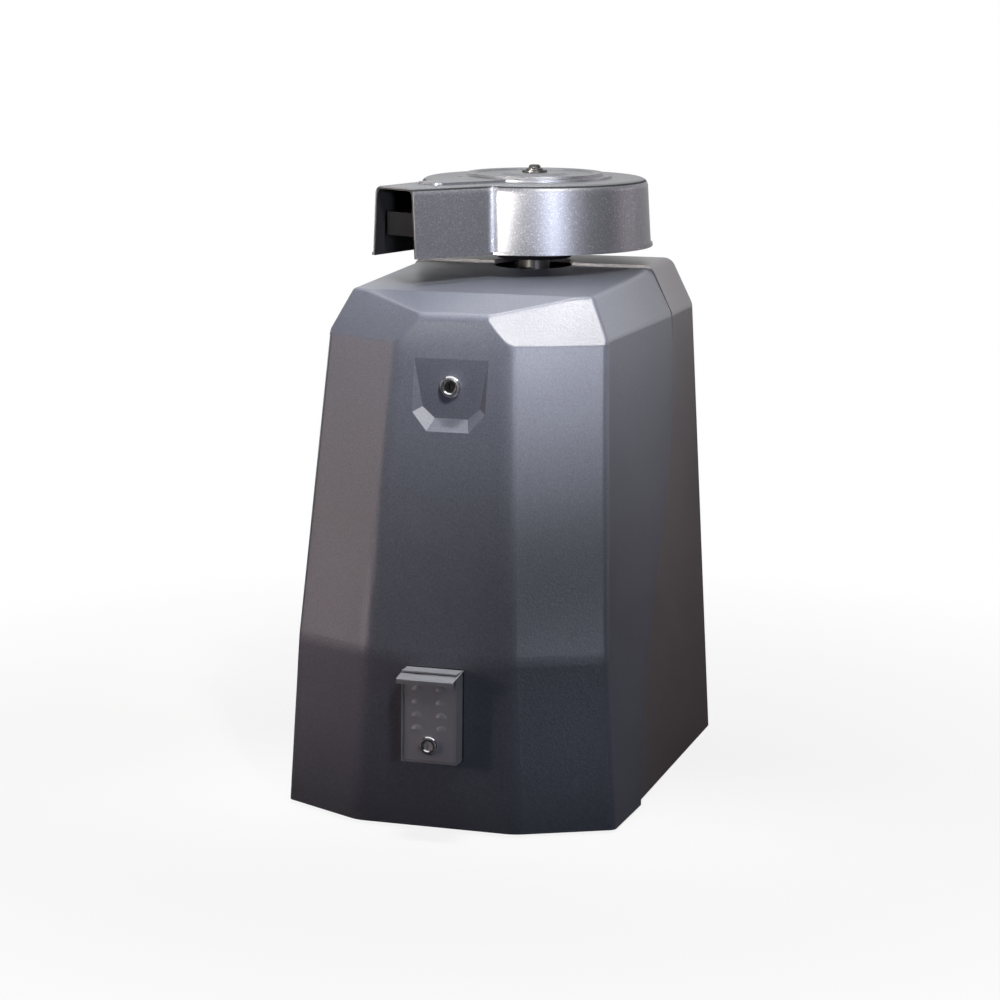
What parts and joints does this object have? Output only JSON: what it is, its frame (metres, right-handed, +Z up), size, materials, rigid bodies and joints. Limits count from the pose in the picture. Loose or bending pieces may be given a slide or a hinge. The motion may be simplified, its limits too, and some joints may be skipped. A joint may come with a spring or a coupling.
{
  "type": "swing gate operator",
  "caption": "Pedestal swing gate operator: faceted two-part moulded housing with key lock and louvred station, a worm gearmotor inside, and a covered crank arm on top.",
  "frame": {"origin": "centre of the anchor bolt pattern, on the ground under the base plate", "axes": "+Z up, the front cover with its lock faces -Y, +X to the right of someone facing the front"},
  "size_m": [0.3704, 0.5267, 0.669],
  "materials": {
    "cover_plastic": "matte, fine pebbled",
    "arm_cover_plastic": "hammered, slight sparkle",
    "grey_paint": "satin",
    "station_paint": "satin",
    "frame_paint": "zinc plated",
    "control_paint": "satin",
    "motor_paint": "semi gloss",
    "castings": "painted casting",
    "steel": "machined",
    "zinc_fasteners": "zinc plated",
    "lock_chrome": "polished",
    "bronze": "machined bronze",
    "alloy": "cast and machined",
    "black_rubber": "matte",
    "black_plastic": "matte",
    "board_green": "lacquered board"
  },
  "bodies": {
    "chassis": {"base_plate": "frame_paint", "board_parts": "black_plastic", "circuit_board": "board_green", "control_arms": "frame_paint", "control_box": "control_paint", "control_lid": "control_paint", "cover_catch": "frame_paint", "flange_bearing": "castings", "frame_bolts": "zinc_fasteners", "frame_post_left": "frame_paint", "frame_post_right": "frame_paint", "gearbox_bolts": "zinc_fasteners", "gearbox_case": "castings", "gearbox_lid": "castings", "gearbox_shelf": "frame_paint", "limit_switches": "black_plastic", "motor_bands": "frame_paint", "motor_capacitor": "alloy", "motor_end_bells": "alloy", "motor_mount": "frame_paint", "motor_shell": "motor_paint", "motor_stator": "steel", "rear_cover": "cover_plastic", "rear_cover_screws": "zinc_fasteners", "rear_foot_brackets": "frame_paint", "rear_top_brackets": "frame_paint", "shaft_bearings": "steel", "shaft_seal": "black_rubber", "switch_bracket": "frame_paint", "top_plate": "frame_paint", "transformer": "steel", "v_belt": "black_rubber", "worm_bearings": "steel", "worm_caps": "castings"},
    "front_cover": {"front_cover": "cover_plastic", "cover_lock_barrel": "lock_chrome", "cover_lock_nut": "zinc_fasteners", "station_box": "station_paint", "station_gasket": "black_rubber", "station_screws": "zinc_fasteners", "alarm_sounder": "black_plastic"},
    "cover_lock": {"cover_lock_plug": "lock_chrome", "cover_lock_cam": "steel"},
    "station_panel": {"station_panel": "station_paint", "station_lock_barrel": "lock_chrome"},
    "station_lock": {"station_lock_plug": "lock_chrome", "station_lock_cam": "steel"},
    "output": {"output_shaft": "steel", "shaft_keys": "steel", "worm_wheel": "bronze", "limit_cams": "black_plastic", "arm_hub": "grey_paint", "crank_stub": "grey_paint", "arm_cover": "arm_cover_plastic", "arm_cover_washer": "zinc_fasteners", "arm_cover_bolt": "zinc_fasteners"},
    "worm": {"worm_shaft": "steel", "driven_pulley": "alloy"},
    "motor_rotor": {"motor_rotor": "steel", "motor_pulley": "alloy"}
  },
  "joints": [
    {"name": "cover_pull", "type": "slide", "parent": "chassis", "child": "front_cover", "axis": [0, -1, 0], "range_m": [0, 0.45]},
    {"name": "cover_lock_turn", "type": "hinge", "parent": "front_cover", "child": "cover_lock", "pos_m": [0, -0.1915, 0.4597], "axis": [0, -1, 0], "range_deg": [0, 90]},
    {"name": "station_panel_tilt", "type": "hinge", "parent": "front_cover", "child": "station_panel", "pos_m": [0, -0.26209, 0.16742], "axis": [-1, 0, 0], "range_deg": [0, 30]},
    {"name": "station_key_turn", "type": "hinge", "parent": "station_panel", "child": "station_lock", "pos_m": [0, -0.26471, 0.09591], "axis": [0, 0.9997, -0.026], "range_deg": [0, 90]},
    {"name": "arm_swing", "type": "hinge", "parent": "chassis", "child": "output", "pos_m": [0, 0.104, 0.394], "axis": [0, 0, 1], "range_deg": [-62.5, 117.5]},
    {"name": "worm_turn", "type": "hinge", "parent": "chassis", "child": "worm", "pos_m": [0, 0.024, 0.394], "axis": [1, 0, 0], "range_deg": [-3525, 1875]},
    {"name": "motor_turn", "type": "hinge", "parent": "chassis", "child": "motor_rotor", "pos_m": [0, -0.075, 0.118], "axis": [1, 0, 0], "range_deg": [-7050, 3750]}
  ],
  "couplings": [
    {"joint": "worm_turn", "follows": "arm_swing", "ratio": -30},
    {"joint": "motor_turn", "follows": "arm_swing", "ratio": -60}
  ]
}
